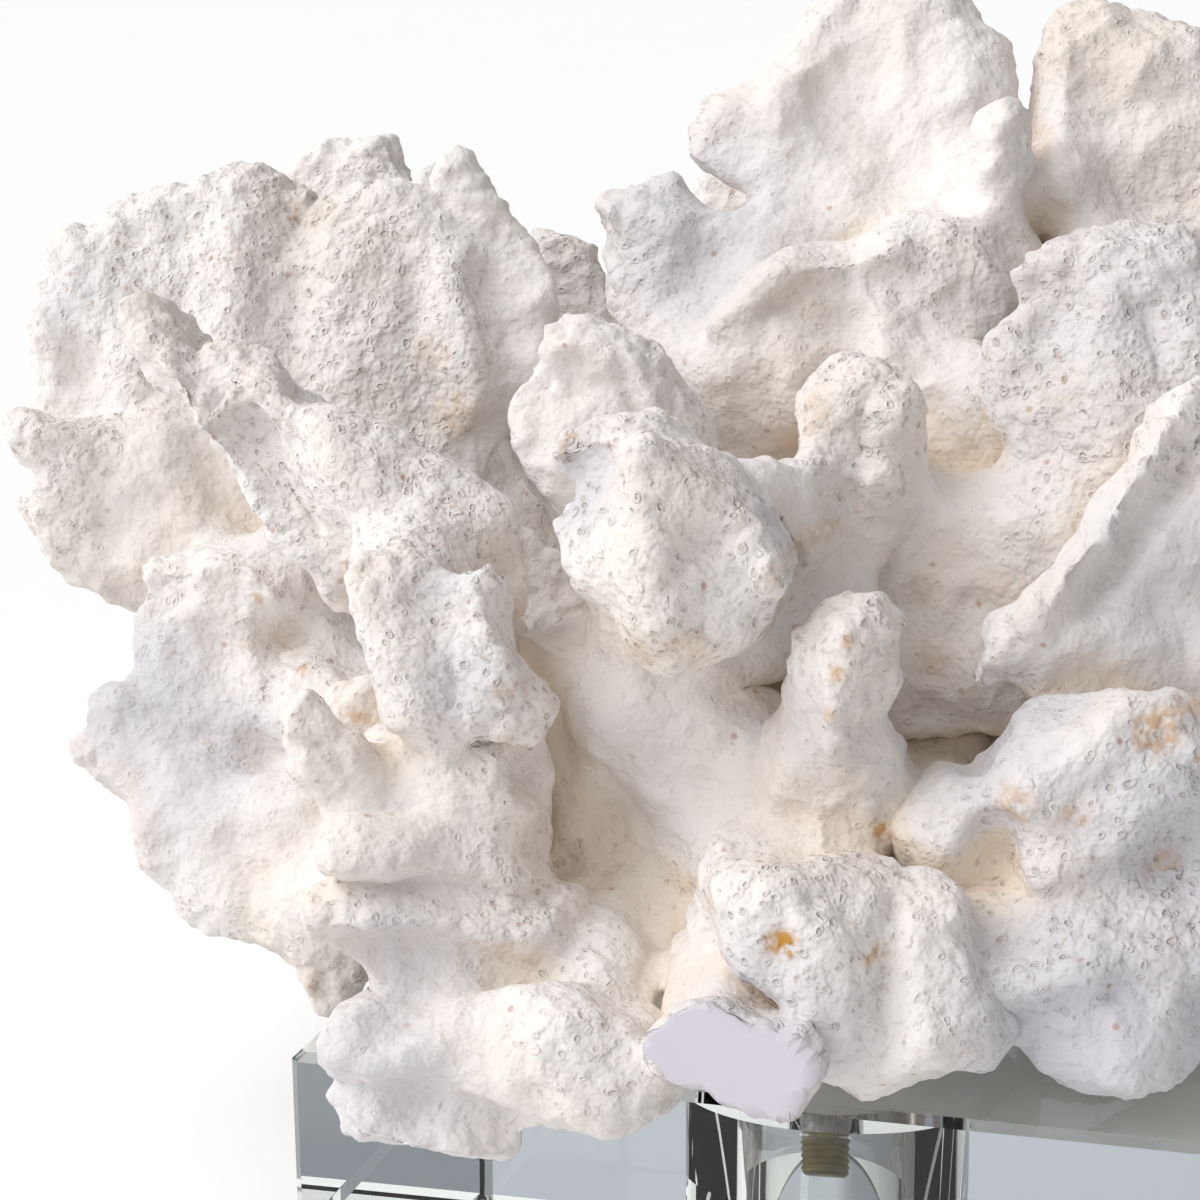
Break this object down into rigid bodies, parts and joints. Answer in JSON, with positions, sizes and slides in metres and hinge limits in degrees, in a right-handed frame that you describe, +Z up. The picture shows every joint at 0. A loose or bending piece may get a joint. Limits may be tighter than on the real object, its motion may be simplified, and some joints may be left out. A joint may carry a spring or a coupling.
{
  "type": "branching coral on a crystal stand",
  "caption": "White lobed branching coral held by a threaded rod on a square clear crystal block that stands flat on a shelf or table.",
  "frame": {"origin": "middle of the object's plan, at the crystal block's underside", "axes": "+Z up, +X to the right along the coral's longest side, +Y to the back; the block's sides are parallel to X and Y"},
  "size_m": [0.247, 0.1776, 0.167],
  "materials": {
    "coral": "matt, chalky and finely pitted, bleached white with beige hollows",
    "crystal": "clear polished optical glass with chamfered edges",
    "brass": "dull, aged olive brass thread"
  },
  "bodies": {
    "root": {"crystal_base": "crystal", "threaded_rod": "brass", "holdfast": "coral", "left_fan": "coral", "left_tip": "coral", "left_front_blade": "coral", "left_front_finger": "coral", "left_cup": "coral", "left_shelf": "coral", "left_low_blade": "coral", "left_lip": "coral", "low_left_toe": "coral", "low_middle_knob": "coral", "centre_crown": "coral", "centre_boss": "coral", "front_lobe": "coral", "right_foot_lobe": "coral", "right_low_lobe": "coral", "right_ridge_blade": "coral", "dish": "coral", "centre_right_knob": "coral", "right_lobe": "coral", "centre_right_blade": "coral", "centre_back_lobe": "coral", "top_fan": "coral", "top_right_fan": "coral", "top_splinter": "coral", "left_back_spade": "coral", "left_back_bumps": "coral", "left_back_blade": "coral", "back_finger": "coral", "right_outer_fan": "coral", "right_outer_shelf": "coral", "right_upper_blade": "coral", "right_back_fan": "coral", "back_fan": "coral", "back_left_fan": "coral", "back_low_left": "coral", "back_low_lobe": "coral", "back_low_right": "coral", "back_crown": "coral", "back_top_blade": "coral", "left_side_lobe": "coral", "left_trunk": "coral", "lower_left_trunk": "coral", "front_trunk": "coral", "centre_finger": "coral", "left_finger": "coral", "left_knob": "coral", "right_bud": "coral", "right_low_knob": "coral", "back_spur": "coral", "sawn_stub": "coral"}
  },
  "joints": []
}
